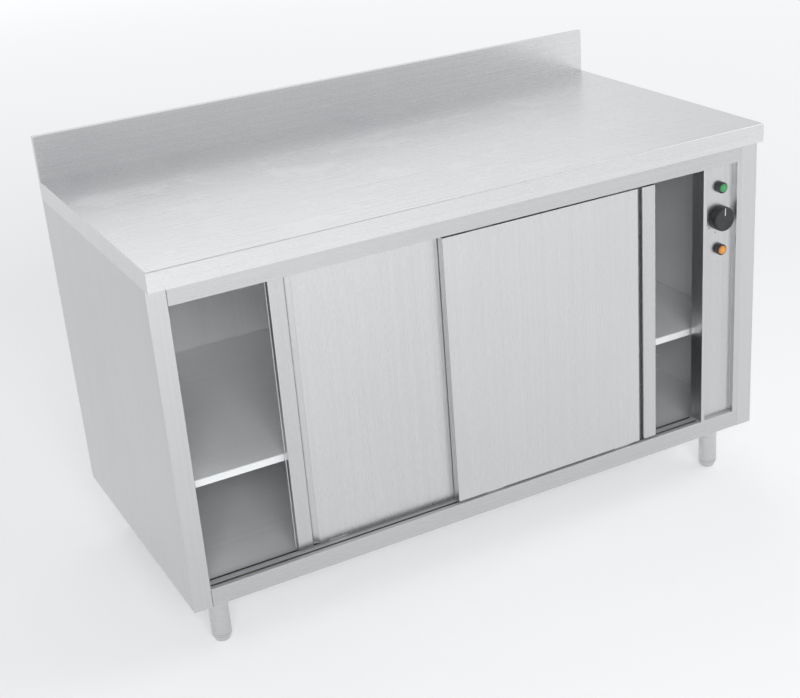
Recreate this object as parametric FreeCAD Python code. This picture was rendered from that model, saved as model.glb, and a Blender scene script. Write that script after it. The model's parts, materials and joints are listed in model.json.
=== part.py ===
import FreeCAD, Part
import math
import os

Vector = FreeCAD.Vector

# Plate warmer cabinet: a heated cupboard of folded stainless sheet with a worktop, an upstand,
# two sliding doors, a middle shelf and a control column beside the door opening.
# Millimetres. X runs to the right, Y to the back and Z up. The origin lies on the floor,
# under the middle of the worktop. The doors stand where they were drawn, both ajar.

# Whole cabinet
length = 1400.0
depth = 700.0
worktop_height = 850.0
worktop_edge = 40.0
upstand_height = 100.0
upstand_thickness = 15.0
leg_height = 125.0
front_setback = 20.0

# Sheets, folds and fits
top_sheet = 1.5
sheet = 1.2
liner_sheet = 1.0
door_sheet = 1.0
bend = 1.5
tight_bend = 0.8
edge_round = 2.0
hem = 15.0
clearance = 0.3
running_fit = 0.05
overrun = 5.0
stiffener_share = 0.25

# Body frame and walls
post_width = 40.0
post_depth = 38.0
rail_height = 40.0
rail_depth = 41.0
rail_lip = 15.0
top_rail_depth = 48.0
side_wall = 19.0
back_wall = 11.0
ceiling_wall = 20.0
core_thickness = 18.0
stiffener_width = 60.0
stiffener_flange = 20.0

# Floor pan, heating and shelf
pan_drop = 17.0
pan_flange = 33.0
pan_lip_drop = 3.0
base_insulation = 8.0
shelf_height = 382.0
shelf_lip = 15.0
shelf_clearance = 6.0
shelf_side_gap = 1.0
bracket_leg = 13.0
bracket_shelf = 20.0
bracket_setback = 40.0
element_radius = 4.0
element_runs = 4
element_front_gap = 88.0
element_back_gap = 120.0
element_left_inset = 92.0
element_turn_inset = 130.0
element_corner = 25.0
element_riser_bend = 12.0
element_riser_hole = 6.0
element_end_height = 22.0
element_lead_inset = 50.0
element_lead_pitch = 25.0
element_lead_depth = 28.0
clip_width = 15.0
clip_foot = 10.0
clip_inset = 260.0

# Doors
column_width = 105.0
door_thickness = 19.0
door_pitch = 21.5
door_inset = 4.0
door_gap = 5.0
front_door_width = 519.0
door_overlap = 25.0
front_door_open = 126.0
rear_door_open = 203.0
end_gap = 1.0
handle_sheet = 1.2
handle_strip = 33.5
finger_gap = 13.5
handle_lap = 15.0
handle_pocket = 12.0
handle_floor = 6.0
handle_hem = 2.8

# Door running gear
track_sheet = 1.2
ledge_width = 10.6
ledge_lip = 3.0
ledge_drop = 10.0
roller_radius = 12.0
roller_width = 6.5
roller_offset = 4.9
roller_hub_radius = 5.0
roller_groove = 0.8
axle_radius = 3.0
axle_head_radius = 4.5
axle_head = 1.2
hanger_sheet = 3.0
hanger_width = 60.0
hanger_offset = 14.0
hanger_foot = 8.0
hanger_top = 9.0
hanger_inset = 92.0
stop_length = 30.0
stop_height = 14.0
guide_width = 40.0
guide_base = 14.0
guide_base_height = 2.5
guide_tongue = 3.0
guide_reach = 10.0
guide_play = 1.0

# Control column
column_left_flange = 10.5
column_right_flange = 13.5
column_recess = 12.0
column_return = 40.0
column_lap = 15.5
control_box_depth = 49.5
knob_radius = 27.5
knob_length = 19.7
knob_drop = 121.0
knob_chamfer = 1.5
knob_bore_depth = 12.0
pointer_width = 2.0
pointer_depth = 0.8
pointer_inner = 9.0
control_offset = 53.5
button_rise = 70.0
lamp_fall = 73.0
bezel_radius = 12.5
bezel_length = 11.5
bezel_chamfer = 1.0
switch_radius = 11.0
switch_length = 26.0
switch_hole = 11.2
cap_radius = 10.0
cap_length = 18.0
cap_proud = 2.0
button_travel = 3.0
shaft_radius = 3.0
shaft_flat = 1.0
shaft_hole = 5.0
shaft_socket = 10.0
thermostat_width = 44.0
thermostat_length = 58.0
thermostat_depth = 28.0
capillary_radius = 1.0
capillary_margin = 6.0
capillary_bend = 6.0
bulb_radius = 3.0
bulb_length = 60.0
terminal_width = 60.0
terminal_depth = 22.0
terminal_length = 26.0
terminal_height = 235.0
terminal_ways = 5
terminal_well = 2.2
terminal_well_depth = 9.0

# Legs, feet and fixings under the base
leg_inset = 70.0
leg_setback = 68.0
leg_radius = 21.0
leg_wall = 1.5
leg_end = 19.0
leg_plate = 60.0
leg_plate_thickness = 3.0
leg_plug = 12.0
leg_bolt_spacing = 46.0
foot_radius = 16.0
foot_cone = 15.0
foot_chamfer = 1.5
stem_radius = 6.0
stem_length = 66.0
bolt_radius = 3.0
bolt_hole = 3.3
bolt_head_radius = 5.8
bolt_head = 4.0
gland_side_inset = 140.0
gland_back_inset = 40.0
gland_bore = 5.0
gland_thread_radius = 10.0
gland_hex_radius = 14.0
gland_hex = 8.0
gland_dome = 14.0
gland_dome_radius = 9.0
gland_shoulder_radius = 11.5
gland_nut = 5.0
gland_inside = 9.0
earth_offset = 50.0
earth_stud_radius = 3.0
earth_stud_length = 20.0
earth_nut = 5.0

# Planes that the pieces share
left = -length / 2
right = length / 2
front = -depth / 2
back = depth / 2
body_front = front + front_setback
body_top = worktop_height - worktop_edge
worktop_top = worktop_height + upstand_height
upstand_front = back - upstand_thickness
opening_left = left + post_width
column_right = right - post_width
opening_right = column_right - column_width
rail_top = leg_height + rail_height
opening_top = body_top - rail_height
post_back = body_front + post_depth
rail_back = body_front + rail_depth
inner_left = left + side_wall
inner_right = right - side_wall
inner_back = back - back_wall
ceiling = body_top - ceiling_wall
ceiling_front = body_front + top_rail_depth
base_bottom = leg_height + sheet
base_top = base_bottom + liner_sheet
pan_top = rail_top - pan_drop
pan_bottom = pan_top - sheet
element_height = pan_bottom - clearance - element_radius
element_first = rail_back + element_front_gap
element_pitch = (inner_back - element_back_gap - element_first) / (element_runs - 1)

# Doors at rest
door_bottom = rail_top + door_gap
door_top = opening_top - door_gap
panel_edge = handle_strip + finger_gap
opening_width = opening_right - opening_left
rear_door_width = opening_width - front_door_width + door_overlap
front_door_edge = opening_right - front_door_open
rear_door_edge = opening_left + rear_door_open
rear_door_back = body_front + door_pitch + door_inset + door_thickness
shelf_front = rear_door_back + shelf_clearance
shelf_back = inner_back - shelf_side_gap

# Running gear levels
track_top = body_top - sheet - tight_bend
ledge_bottom = door_top + ledge_drop
ledge_top = ledge_bottom + track_sheet
axle_height = ledge_top + roller_radius + clearance

# Control column
column_face = body_front + column_recess
column_back = column_face + sheet
control_x = opening_right + control_offset
control_box_left = opening_right + column_lap - liner_sheet
control_box_back = body_front + control_box_depth
knob_front = column_face - clearance - knob_length
knob_height = opening_top - knob_drop
button_height = knob_height + button_rise
lamp_height = knob_height - lamp_fall
capillary_level = button_height - switch_radius - capillary_margin

# Underside fixings
gland_x = right - gland_side_inset
gland_y = back - gland_back_inset
leg_places = [(x, y) for x in (left + leg_inset, right - leg_inset)
              for y in (body_front + leg_setback, back - leg_setback)]


def box(x0, x1, y0, y1, z0, z1):
    """A block between two corners."""
    return Part.makeBox(x1 - x0, y1 - y0, z1 - z0, Vector(x0, y0, z0))


def rod(x, y, z0, z1, radius):
    """An upright cylinder."""
    return Part.makeCylinder(radius, z1 - z0, Vector(x, y, z0))


def peg(x, y0, y1, z, radius):
    """A cylinder that lies along Y."""
    return Part.makeCylinder(radius, y1 - y0, Vector(x, y0, z), Vector(0, 1, 0))


def join(shapes):
    """One solid from overlapping or touching ones, with the seams between flat faces removed."""
    whole = shapes[0]
    for shape in shapes[1:]:
        whole = whole.fuse(shape)
    return whole.removeSplitter()


def spot(axis, u, v, w):
    """The point w along an axis, at u and v in the section square to it."""
    if axis == "x":
        return Vector(w, u, v)
    if axis == "y":
        return Vector(u, w, v)
    return Vector(u, v, w)


def section(axis, corners, w):
    """A face across an axis. Its corners are (u, v) or (u, v, radius)."""
    points = [Vector(corner[0], corner[1], 0) for corner in corners]
    radii = [corner[2] if len(corner) > 2 else 0 for corner in corners]
    count = len(points)
    turns = []
    for i in range(count):
        here = points[i]
        if not radii[i]:
            turns.append((here, here, here))
            continue
        to_last = (points[i - 1] - here).normalize()
        to_next = (points[(i + 1) % count] - here).normalize()
        half = to_last.getAngle(to_next) / 2
        inwards = (to_last + to_next).normalize()
        reach = radii[i] / math.tan(half)
        sagitta = radii[i] / math.sin(half) - radii[i]
        turns.append((here + to_last * reach, here + inwards * sagitta, here + to_next * reach))
    edges = []
    for i in range(count):
        start, middle, end = [spot(axis, p.x, p.y, w) for p in turns[i]]
        if radii[i]:
            edges.append(Part.Arc(start, middle, end).toShape())
        following = turns[(i + 1) % count][0]
        edges.append(Part.makeLine(end, spot(axis, following.x, following.y, w)))
    return Part.Face(Part.Wire(edges))


def prism(axis, corners, start, end):
    """A section drawn out along an axis."""
    return section(axis, corners, start).extrude(spot(axis, 0, 0, end - start))


def folded(line, thickness, radius, side=1):
    """The outline of a sheet folded along a line, its thickness on the left for side 1."""
    near = []
    far = []
    last = len(line) - 1
    for i in range(len(line)):
        here = Vector(line[i][0], line[i][1], 0)
        before = Vector(line[max(i, 1) - 1][0], line[max(i, 1) - 1][1], 0)
        start = Vector(line[max(i, 1)][0], line[max(i, 1)][1], 0)
        pause = Vector(line[min(i, last - 1)][0], line[min(i, last - 1)][1], 0)
        after = Vector(line[min(i, last - 1) + 1][0], line[min(i, last - 1) + 1][1], 0)
        arriving = (start - before).normalize()
        leaving = (after - pause).normalize()
        normal_in = Vector(-arriving.y, arriving.x, 0) * side
        normal_out = Vector(-leaving.y, leaving.x, 0) * side
        shift = (normal_in + normal_out) * (thickness / (1 + normal_in.dot(normal_out)))
        turn = (arriving.x * leaving.y - arriving.y * leaving.x) * side
        outer = radius + thickness if radius else 0
        if i in (0, last):
            near_radius, far_radius = 0, 0
        elif turn > 0:
            near_radius, far_radius = outer, radius
        else:
            near_radius, far_radius = radius, outer
        near.append((here.x, here.y, near_radius))
        far.append((here.x + shift.x, here.y + shift.y, far_radius))
    return near + far[::-1]


def turned(profile, centre, axis):
    """A solid of revolution. The profile's points are (distance along the axis, radius)."""
    side = Vector(1, 0, 0)
    points = [centre + axis * along + side * radius for along, radius in profile]
    return Part.Face(Part.makePolygon(points + points[:1])).revolve(centre, axis, 360)


def tube(corners, radius):
    """A round rod along a line of points, each (point, bend radius)."""
    edges = []
    position = corners[0][0]
    for i in range(1, len(corners) - 1):
        here, turn_radius = corners[i]
        to_last = (corners[i - 1][0] - here).normalize()
        to_next = (corners[i + 1][0] - here).normalize()
        half = to_last.getAngle(to_next) / 2
        reach = turn_radius / math.tan(half)
        sagitta = turn_radius / math.sin(half) - turn_radius
        begin = here + to_last * reach
        finish = here + to_next * reach
        middle = here + (to_last + to_next).normalize() * sagitta
        if position.distanceToPoint(begin) > clearance:
            edges.append(Part.makeLine(position, begin))
        edges.append(Part.Arc(begin, middle, finish).toShape())
        position = finish
    edges.append(Part.makeLine(position, corners[-1][0]))
    path = Part.Wire(edges)
    heading = (corners[1][0] - corners[0][0]).normalize()
    ring = Part.Wire([Part.makeCircle(radius, corners[0][0], heading)])
    return path.makePipeShell([ring], True, False)


def hexagon(x, y, z0, z1, radius):
    """An upright hexagonal prism, measured across its corners."""
    corners = [(x + radius * math.cos(math.radians(60 * i)), y + radius * math.sin(math.radians(60 * i)))
               for i in range(6)]
    return prism("z", corners, z0, z1)


def rounded(solid, radius, wanted):
    """The solid with the edges that wanted(middle, direction) picks rounded over."""
    picked = []
    for edge in solid.Edges:
        if len(edge.Vertexes) < 2 or edge.Curve.TypeId != "Part::GeomLine":
            continue
        first, second = edge.Vertexes[0].Point, edge.Vertexes[1].Point
        if wanted((first + second) / 2, (second - first).normalize()):
            picked.append(edge)
    return solid.makeFillet(radius, picked)


def near(a, b):
    """Whether two places are the same, within a running fit."""
    return abs(a - b) < running_fit


# Worktop

def worktop():
    """The pressed top: turned-down edges with a hem, and a hollow upstand along the back."""
    line = [(front + hem, body_top), (front, body_top), (front, worktop_height),
            (upstand_front, worktop_height), (upstand_front, worktop_top), (back, worktop_top),
            (back, body_top), (back - hem, body_top)]
    pieces = [prism("x", folded(line, top_sheet, 0, -1), left, right)]
    for outer, inner, lip in ((left, left + top_sheet, left + hem), (right, right - top_sheet, right - hem)):
        low, high = min(outer, inner), max(outer, inner)
        pieces.append(box(low, high, front, back, body_top, worktop_height))
        pieces.append(box(low, high, upstand_front, back, worktop_height, worktop_top))
        pieces.append(box(min(outer, lip), max(outer, lip), front, back, body_top, body_top + top_sheet))
    skin = join(pieces)

    def outer_edge(middle, along):
        on_top = near(middle.z, worktop_height) and (near(middle.y, front) or near(abs(middle.x), right))
        corner = near(abs(middle.x), right) and near(middle.y, front) and abs(along.z) > 0.9
        return on_top or corner

    return rounded(skin, edge_round, outer_edge)


def worktop_core():
    """The board bonded under the worktop sheet, which keeps it flat and quiet."""
    return box(left + top_sheet, right - top_sheet, front + top_sheet, upstand_front,
               worktop_height - top_sheet - core_thickness, worktop_height - top_sheet)


def worktop_stiffeners():
    """Two folded top-hat channels that carry the board on the body's top flanges."""
    high = worktop_height - top_sheet - core_thickness
    shapes = []
    for hand in (-1, 1):
        middle = hand * length * stiffener_share
        half = stiffener_width / 2
        line = [(middle - half - stiffener_flange, high), (middle - half, high),
                (middle - half, body_top + sheet), (middle + half, body_top + sheet),
                (middle + half, high), (middle + half + stiffener_flange, high)]
        shapes.append(prism("y", folded(line, sheet, tight_bend, -1),
                            body_front, upstand_front))
    return shapes


# Body

def side_panel(hand):
    """An outer side, folded round the front as a hollow post and round the back as a flange."""
    outer = left if hand < 0 else right
    line = [(outer - hand * hem, back), (outer, back), (outer, body_front),
            (outer - hand * post_width, body_front), (outer - hand * post_width, post_back),
            (outer - hand * side_wall, post_back)]
    return prism("z", folded(line, sheet, tight_bend, -hand), leg_height, body_top)


def side_liner(hand):
    """The inner side wall behind the post."""
    inner = inner_left if hand < 0 else inner_right
    outer = inner + hand * liner_sheet
    return box(min(inner, outer), max(inner, outer), post_back, inner_back, base_top, body_top - sheet)


def side_insulation(hand):
    """The mineral wool between an outer side and its liner."""
    inner = (inner_left if hand < 0 else inner_right) + hand * liner_sheet
    outer = (left if hand < 0 else right) - hand * sheet
    return box(min(inner, outer), max(inner, outer), post_back, inner_back, base_top, body_top - sheet)


def back_panel():
    """The outer back, with flanges turned in at its top and bottom."""
    plane = back - sheet
    line = [(plane - hem, leg_height), (plane, leg_height), (plane, body_top), (plane - 2 * hem, body_top)]
    return prism("x", folded(line, sheet, tight_bend), left + sheet + tight_bend, right - sheet - tight_bend)


def back_liner():
    """The inner back wall."""
    return box(inner_left, inner_right, inner_back, inner_back + liner_sheet, base_top, body_top - sheet)


def back_insulation():
    """The mineral wool between the two backs."""
    return box(inner_left, inner_right, inner_back + liner_sheet, back - 2 * sheet,
               base_top, body_top - 2 * sheet)


def base_panel():
    """The bottom sheet between the posts, with holes for the legs, the gland and the earth stud."""
    plate = box(left + sheet, right - sheet, body_front + sheet + tight_bend,
                back - 2 * sheet - tight_bend, base_bottom, base_top)
    for x0, x1 in ((left, opening_left), (column_right, right)):
        plate = plate.cut(box(x0, x1, body_front, post_back, base_bottom - overrun, base_top + overrun))
    for x, y in leg_bolt_places():
        plate = plate.cut(rod(x, y, base_bottom - overrun, base_top + overrun, bolt_hole))
    plate = plate.cut(rod(gland_x, gland_y, base_bottom - overrun, base_top + overrun,
                          gland_thread_radius + clearance))
    plate = plate.cut(rod(gland_x - earth_offset, gland_y, base_bottom - overrun, base_top + overrun,
                          earth_stud_radius + clearance))
    return plate


def base_insulation_slab():
    """The mineral wool on the base, cut out round the gland and the earth stud."""
    slab = box(inner_left, inner_right, rail_back, inner_back, base_top, base_top + base_insulation)
    x0 = gland_x - earth_offset - 2 * earth_stud_radius - gland_hex_radius
    x1 = gland_x + 2 * gland_hex_radius
    return slab.cut(box(x0, x1, gland_y - 2 * gland_hex_radius, inner_back + overrun,
                        base_top - overrun, base_top + base_insulation + overrun))


def ceiling_liner():
    """The inner ceiling, turned up at the front against the top rail."""
    line = [(ceiling_front, body_top - sheet), (ceiling_front, ceiling), (inner_back, ceiling)]
    return prism("x", folded(line, liner_sheet, tight_bend), inner_left, inner_right)


def ceiling_insulation():
    """The mineral wool over the inner ceiling."""
    return box(inner_left, inner_right, ceiling_front + liner_sheet + bend, inner_back,
               ceiling + liner_sheet, body_top - 2 * sheet)


def guide_slots():
    """The two cuts in the bottom rail that the door guides run in."""
    slots = []
    for lane in (body_front, body_front + door_pitch):
        middle = lane + door_inset + door_thickness / 2
        half = guide_tongue / 2 + guide_play
        slots.append(box(opening_left + overrun, opening_right - overrun, middle - half, middle + half,
                         rail_top - sheet - overrun, rail_top + overrun))
    return slots


def element_leads():
    """Where the two ends of the heating element rise, in X."""
    outer = right - side_wall - element_lead_inset
    return outer - element_lead_pitch, outer


def bottom_rail():
    """The front bottom rail, a folded channel with guide slots and holes for the element."""
    line = [(body_front + hem, leg_height), (body_front, leg_height), (body_front, rail_top),
            (rail_back, rail_top), (rail_back, rail_top - rail_lip)]
    rail = prism("x", folded(line, sheet, tight_bend, -1), opening_left, column_right)
    for slot in guide_slots():
        rail = rail.cut(slot)
    for x in element_leads():
        rail = rail.cut(rod(x, body_front + element_lead_depth, rail_top - sheet - overrun,
                            rail_top + overrun, element_riser_hole))
    return rail


def top_rail():
    """The front top rail, an angle whose flange lies under the worktop."""
    line = [(body_front, opening_top), (body_front, body_top), (ceiling_front, body_top)]
    return prism("x", folded(line, sheet, tight_bend, -1), opening_left, column_right)


def floor_pan():
    """The heated floor, turned up at the sides and against the bottom rail."""
    line = [(inner_left, pan_top + pan_flange), (inner_left, pan_bottom),
            (inner_right, pan_bottom), (inner_right, pan_top + pan_flange)]
    pan = prism("y", folded(line, sheet, tight_bend), rail_back, inner_back)
    lip = box(inner_left + sheet, inner_right - sheet, rail_back, rail_back + sheet,
              pan_bottom + sheet / 2, rail_top - pan_lip_drop)
    return join([pan, lip])


# Shelf

def shelf():
    """The middle shelf, with lips turned down at the front and back."""
    line = [(shelf_front, shelf_height - shelf_lip), (shelf_front, shelf_height),
            (shelf_back, shelf_height), (shelf_back, shelf_height - shelf_lip)]
    return prism("x", folded(line, sheet, tight_bend, -1),
                 inner_left + shelf_side_gap, inner_right - shelf_side_gap)


def shelf_brackets():
    """The angle on each side wall that the shelf lies on."""
    seat = shelf_height - sheet
    shapes = []
    for hand, wall in ((1, inner_left), (-1, inner_right)):
        line = [(wall, seat - bracket_leg), (wall, seat), (wall + hand * bracket_shelf, seat)]
        shapes.append(prism("y", folded(line, sheet, tight_bend, -hand),
                            shelf_front + bracket_setback, shelf_back - bracket_setback))
    return shapes


# Heating

def element_rows():
    """The Y places of the element's long runs."""
    return [element_first + i * element_pitch for i in range(element_runs)]


def heating_element():
    """A tubular element: four long runs under the floor pan and two ends that rise at the right."""
    rows = element_rows()
    near_lead, far_lead = element_leads()
    lead_y = body_front + element_lead_depth
    z = element_height
    top = rail_top + element_end_height
    far_left = inner_left + element_left_inset
    turn_right = inner_right - element_turn_inset
    half = element_pitch / 2
    corners = [(Vector(near_lead, lead_y, top), 0),
               (Vector(near_lead, lead_y, z), element_riser_bend),
               (Vector(near_lead, rows[0], z), element_corner),
               (Vector(far_left, rows[0], z), half),
               (Vector(far_left, rows[1], z), half),
               (Vector(turn_right, rows[1], z), half),
               (Vector(turn_right, rows[2], z), half),
               (Vector(far_left, rows[2], z), half),
               (Vector(far_left, rows[3], z), half),
               (Vector(far_lead, rows[3], z), element_corner),
               (Vector(far_lead, lead_y, z), element_riser_bend),
               (Vector(far_lead, lead_y, top), 0)]
    return tube(corners, element_radius)


def element_clips():
    """Straps under the floor pan that hold the element against it."""
    reach = element_radius + clearance
    low = element_height - reach
    shapes = []
    for x in (inner_left + clip_inset, inner_right - clip_inset):
        for y in element_rows():
            line = [(y - reach - clip_foot, pan_bottom), (y - reach, pan_bottom), (y - reach, low),
                    (y + reach, low), (y + reach, pan_bottom), (y + reach + clip_foot, pan_bottom)]
            strap = folded(line, liner_sheet, 0, -1)
            shapes.append(prism("x", strap, x - clip_width / 2, x + clip_width / 2))
    return shapes


# Door track and stops

def door_track():
    """The twin channel behind the top rail, with a ledge and a lip for each door's rollers."""
    start = body_front + sheet
    pieces = [box(opening_left, column_right, start, start + door_pitch + track_sheet + ledge_width,
                  track_top - track_sheet, track_top)]
    for lane in (start, start + door_pitch):
        web = lane + track_sheet
        pieces.append(box(opening_left, column_right, lane, web, ledge_bottom, track_top))
        pieces.append(box(opening_left, column_right, lane, web + ledge_width, ledge_bottom, ledge_top))
        pieces.append(box(opening_left, column_right, web + ledge_width - track_sheet, web + ledge_width,
                          ledge_bottom, ledge_top + ledge_lip))
    return join(pieces)


def door_stops():
    """The rubber blocks in both channels that end the doors' travel at the rollers."""
    shapes = []
    reach = roller_radius + clearance
    first = opening_left + end_gap + hanger_inset - reach
    last = opening_right - end_gap - hanger_inset + reach
    for lane in (body_front, body_front + door_pitch):
        y0 = lane + sheet + track_sheet + clearance
        y1 = lane + sheet + ledge_width - clearance
        for x0, x1 in ((first - stop_length, first), (last, last + stop_length)):
            shapes.append(box(x0, x1, y0, y1, ledge_top, ledge_top + stop_height))
    return shapes


# Doors. Each is described by its handle edge, the way from there to its other edge (1 or -1)
# and the plane of the lane that it runs in.

front_door = {"edge": front_door_edge, "way": -1, "width": front_door_width, "lane": body_front}
rear_door = {"edge": rear_door_edge, "way": 1, "width": rear_door_width, "lane": body_front + door_pitch}


def across(door, distance):
    """The X place at a distance from the door's handle edge."""
    return door["edge"] + door["way"] * distance


def span(door, first, second):
    """Two distances from the handle edge as X places, lowest first."""
    return sorted((across(door, first), across(door, second)))


def door_skin(door):
    """The outer sheet, turned back at its plain edge, top and bottom."""
    plane = door["lane"] + door_inset
    inside = plane + door_thickness - door_sheet
    line = [(across(door, door["width"]), inside), (across(door, door["width"]), plane),
            (across(door, panel_edge), plane)]
    face = prism("z", folded(line, door_sheet, tight_bend, -door["way"]), door_bottom, door_top)
    x0, x1 = span(door, panel_edge + handle_lap + clearance, door["width"] - door_sheet)
    low = box(x0, x1, plane + door_sheet / 2, inside, door_bottom, door_bottom + door_sheet)
    high = box(x0, x1, plane + door_sheet / 2, inside, door_top - door_sheet, door_top)
    return join([face, low, high])


def door_handle(door):
    """The full-height finger pull: a strip with a pocket behind it, lapped under the outer sheet."""
    plane = door["lane"] + door_inset
    line = [(across(door, panel_edge + handle_lap), plane + door_sheet),
            (across(door, panel_edge), plane + door_sheet),
            (across(door, handle_strip - handle_floor), plane + handle_pocket),
            (across(door, handle_sheet), plane + handle_pocket),
            (across(door, handle_sheet), plane + handle_sheet),
            (across(door, handle_strip - handle_sheet), plane + handle_sheet),
            (across(door, handle_strip - handle_sheet), plane + handle_sheet + handle_hem)]
    return prism("z", folded(line, handle_sheet, tight_bend, -door["way"]), door_bottom, door_top)


def door_liner(door):
    """The inner sheet, turned forward behind the finger pull."""
    plane = door["lane"] + door_inset + door_thickness
    pocket_back = door["lane"] + door_inset + handle_pocket + handle_sheet + clearance
    line = [(across(door, door["width"]), plane), (across(door, 0), plane), (across(door, 0), pocket_back)]
    return prism("z", folded(line, door_sheet, tight_bend, door["way"]), door_bottom, door_top)


def door_insulation(door):
    """The mineral wool in the door's hollow."""
    plane = door["lane"] + door_inset
    x0, x1 = span(door, panel_edge + handle_lap + clearance, door["width"] - door_sheet - tight_bend)
    return box(x0, x1, plane + door_sheet, plane + door_thickness - door_sheet,
               door_bottom + door_sheet, door_top - door_sheet)


def hanger_places(door):
    """The X places of the door's two rollers, left one first."""
    return span(door, hanger_inset, door["width"] - hanger_inset)


def door_hangers(door):
    """Two angle brackets on the door's top edge, each with a riveted stub axle."""
    lane = door["lane"]
    plate = lane + hanger_offset
    shapes = []
    for x in hanger_places(door):
        line = [(plate + hanger_foot, door_top), (plate, door_top), (plate, axle_height + hanger_top)]
        bracket = prism("x", folded(line, hanger_sheet, 0, -1), x - hanger_width / 2, x + hanger_width / 2)
        head = lane + roller_offset - clearance
        axle = peg(x, head, plate + hanger_sheet / 2, axle_height, axle_radius)
        rivet = peg(x, head - axle_head, head, axle_height, axle_head_radius)
        shapes.append(join([bracket, axle, rivet]))
    return shapes


def roller(door, x):
    """A nylon roller with a shallow tread groove and a hub towards its bracket."""
    start = door["lane"] + roller_offset
    edge = roller_width / 4
    profile = [(0, axle_radius + running_fit), (0, roller_radius), (edge, roller_radius),
               (roller_width / 2, roller_radius - roller_groove), (roller_width - edge, roller_radius),
               (roller_width, roller_radius), (roller_width, roller_hub_radius),
               (hanger_offset - roller_offset - clearance, roller_hub_radius),
               (hanger_offset - roller_offset - clearance, axle_radius + running_fit)]
    return turned(profile, Vector(x, start, axle_height), Vector(0, 1, 0))


def door_guides(door):
    """Two nylon shoes under the door, whose tongues run in the bottom rail's slot."""
    middle = door["lane"] + door_inset + door_thickness / 2
    low = door_bottom - guide_reach
    seat = door_bottom - guide_base_height
    shapes = []
    for x in hanger_places(door):
        base = box(x - guide_width / 2, x + guide_width / 2, middle - guide_base / 2, middle + guide_base / 2,
                   seat, door_bottom)
        tongue = box(x - guide_width / 2, x + guide_width / 2,
                     middle - guide_tongue / 2, middle + guide_tongue / 2, low, seat)
        shapes.append(join([base, tongue]))
    return shapes


# Control column

def control_panel():
    """The folded column face: a flange on each side, a recessed panel and a return into the opening."""
    line = [(opening_right + column_lap, body_front + column_return),
            (opening_right, body_front + column_return), (opening_right, body_front),
            (opening_right + column_left_flange, body_front),
            (opening_right + column_left_flange, column_face),
            (column_right - column_right_flange, column_face),
            (column_right - column_right_flange, body_front), (column_right, body_front)]
    panel = prism("z", folded(line, sheet, tight_bend), rail_top, opening_top)
    for z, radius in ((button_height, switch_hole), (knob_height, shaft_hole), (lamp_height, switch_hole)):
        panel = panel.cut(peg(control_x, column_face - overrun, column_face + overrun, z, radius))
    return panel


def control_box():
    """The cover behind the control panel, open to the bottom rail for the element's ends."""
    line = [(control_box_left, body_front + column_return), (control_box_left, control_box_back),
            (inner_right - sheet - tight_bend, control_box_back)]
    walls = prism("z", folded(line, liner_sheet, tight_bend, -1), pan_top, opening_top)
    notch = box(control_box_left - overrun, control_box_left + overrun, body_front,
                rail_back + sheet + clearance, pan_top - overrun, rail_top)
    walls = walls.cut(notch)
    lid = box(control_box_left + liner_sheet, column_right, column_back + clearance,
              control_box_back - liner_sheet / 2, opening_top - liner_sheet, opening_top)
    return join([walls, lid]).cut(peg(control_x, control_box_back - overrun, control_box_back + overrun,
                                      capillary_level, capillary_radius + clearance))


def knob():
    """The round thermostat knob, with a pointer groove and a D-shaped bore."""
    body = turned([(0, 0), (0, knob_radius - knob_chamfer), (knob_chamfer, knob_radius),
                   (knob_length, knob_radius), (knob_length, 0)],
                  Vector(control_x, knob_front, knob_height), Vector(0, 1, 0))
    groove = box(control_x - pointer_width / 2, control_x + pointer_width / 2, knob_front - overrun,
                 knob_front + pointer_depth, knob_height + pointer_inner, knob_height + knob_radius + overrun)
    rear = knob_front + knob_length
    bore = peg(control_x, rear - knob_bore_depth, rear + overrun, knob_height, shaft_radius + running_fit)
    level = knob_height + shaft_radius - shaft_flat + running_fit
    flat = box(control_x - knob_radius, control_x + knob_radius, rear - knob_bore_depth - overrun,
               rear + 2 * overrun, level, knob_height + knob_radius)
    return body.cut(groove).cut(bore.cut(flat))


def thermostat_shaft():
    """The shaft that the knob turns, with a flat for the knob."""
    start = knob_front + knob_length - knob_bore_depth
    shaft = peg(control_x, start, column_back + shaft_socket - clearance, knob_height, shaft_radius)
    flat = box(control_x - shaft_radius, control_x + shaft_radius, start - overrun,
               knob_front + knob_length, knob_height + shaft_radius - shaft_flat,
               knob_height + 2 * shaft_radius)
    return shaft.cut(flat)


def thermostat():
    """The thermostat's case on the back of the control panel, with a bearing for its shaft."""
    half_width = thermostat_width / 2
    half_length = thermostat_length / 2
    case = box(control_x - half_width, control_x + half_width, column_back, column_back + thermostat_depth,
               knob_height - half_length, knob_height + half_length)
    case = case.makeFillet(edge_round, [edge for edge in case.Edges
                                        if near(edge.CenterOfMass.y, column_back + thermostat_depth / 2)])
    bearing = peg(control_x, column_back - overrun, column_back + shaft_socket, knob_height,
                  shaft_radius + running_fit)
    return case.cut(bearing)


def thermostat_probe():
    """The capillary out of the thermostat's top and the bulb behind the control box."""
    middle = column_back + thermostat_depth / 2
    lane = control_box_back + clearance + bulb_radius
    bulb_start = control_x + capillary_bend + bulb_radius
    corners = [(Vector(control_x, middle, knob_height + thermostat_length / 2), 0),
               (Vector(control_x, middle, capillary_level), capillary_bend),
               (Vector(control_x, lane, capillary_level), capillary_bend / 2),
               (Vector(bulb_start + overrun, lane, capillary_level), 0)]
    capillary = tube(corners, capillary_radius)
    bulb = Part.makeCylinder(bulb_radius, bulb_length, Vector(bulb_start, lane, capillary_level),
                             Vector(1, 0, 0))
    return join([capillary, bulb])


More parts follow.
